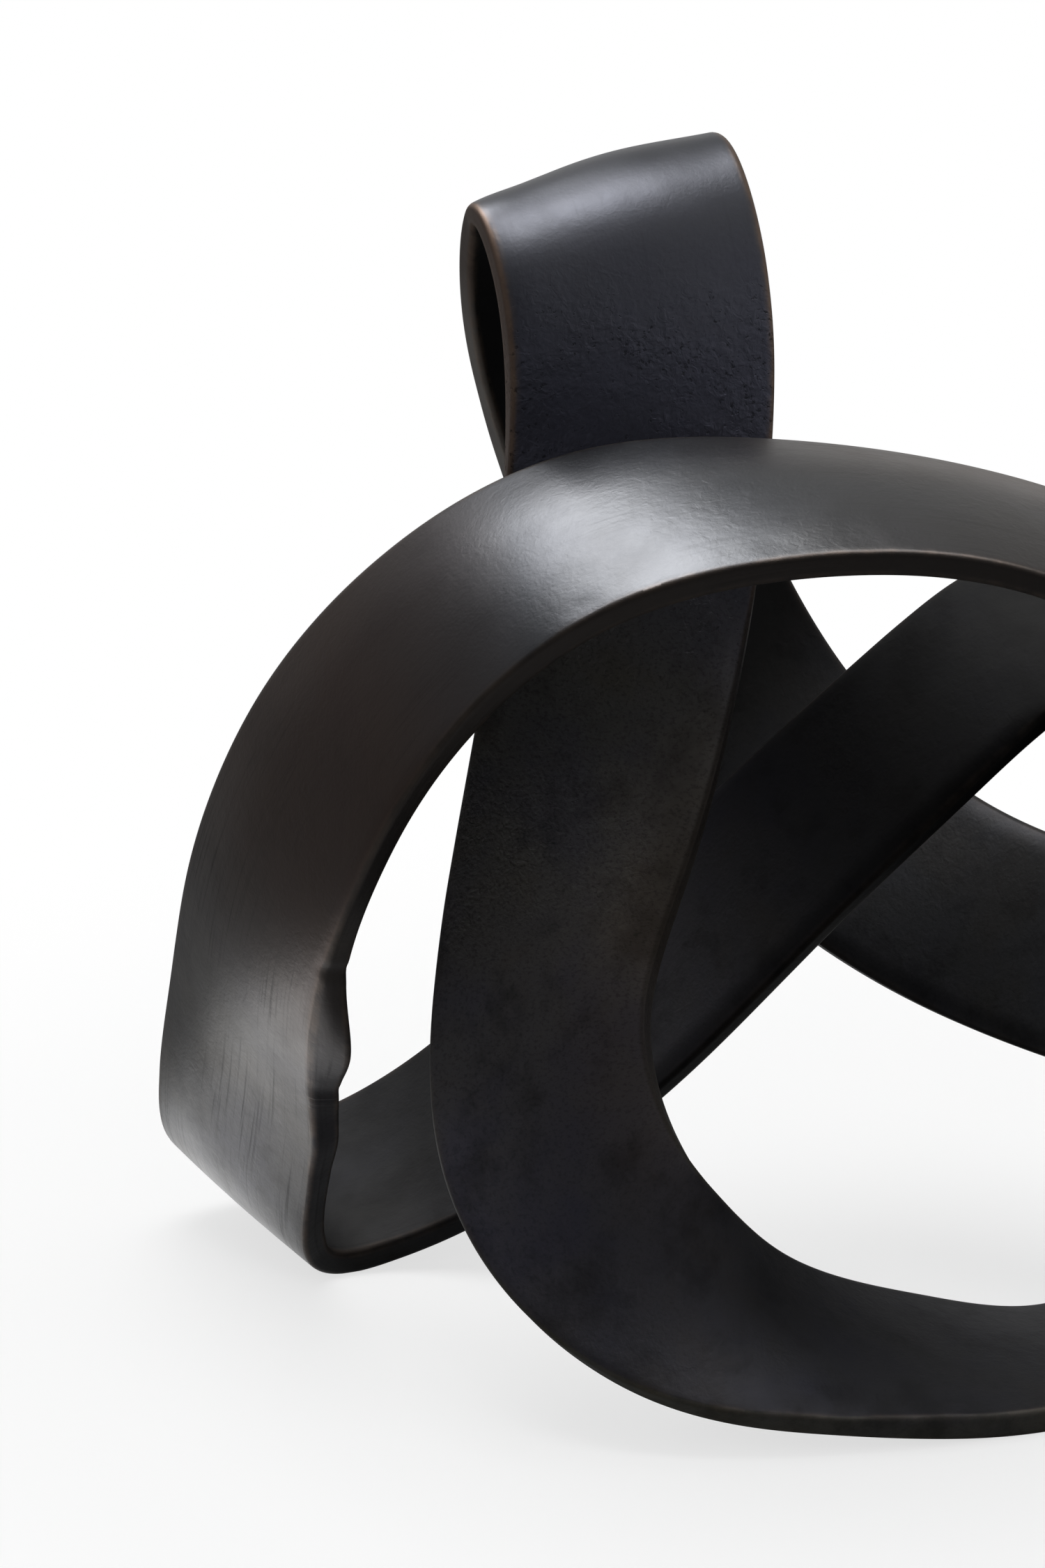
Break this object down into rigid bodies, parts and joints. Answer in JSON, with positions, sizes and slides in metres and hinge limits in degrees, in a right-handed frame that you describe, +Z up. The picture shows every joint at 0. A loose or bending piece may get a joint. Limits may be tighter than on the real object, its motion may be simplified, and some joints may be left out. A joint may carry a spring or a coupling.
{
  "type": "knot sculpture",
  "caption": "Decorative black cast metal trefoil knot: one broad flat band that folds, crosses over and under itself and stands on three ground spots.",
  "frame": {"origin": "on the floor, in the middle of the knot's length and depth", "axes": "+Z up, +X to the right as seen from the front, +Y to the back"},
  "size_m": [0.2246, 0.1345, 0.2048],
  "materials": {
    "black_casting": "sand-cast aluminium sanded smooth along the band, fine pits left in places, satin black oxide and wax finish",
    "black_weld": "weld metal ground flush and given the same satin black finish"
  },
  "bodies": {
    "root": {"top_fold": "black_casting", "front_leg": "black_casting", "front_bend": "black_casting", "outer_bend": "black_casting", "diagonal": "black_casting", "left_bend": "black_casting", "arch_left": "black_casting", "arch_right": "black_casting", "inner_bend": "black_casting", "rear_leg": "black_casting", "weld_front_leg_top": "black_weld", "weld_bottom_left": "black_weld", "weld_bottom_right": "black_weld", "weld_diagonal_top": "black_weld", "weld_diagonal_foot": "black_weld", "weld_left_curl": "black_weld", "weld_arch_crown": "black_weld", "weld_arch_right": "black_weld", "weld_rear_leg_foot": "black_weld", "weld_rear_leg_top": "black_weld"}
  },
  "joints": []
}
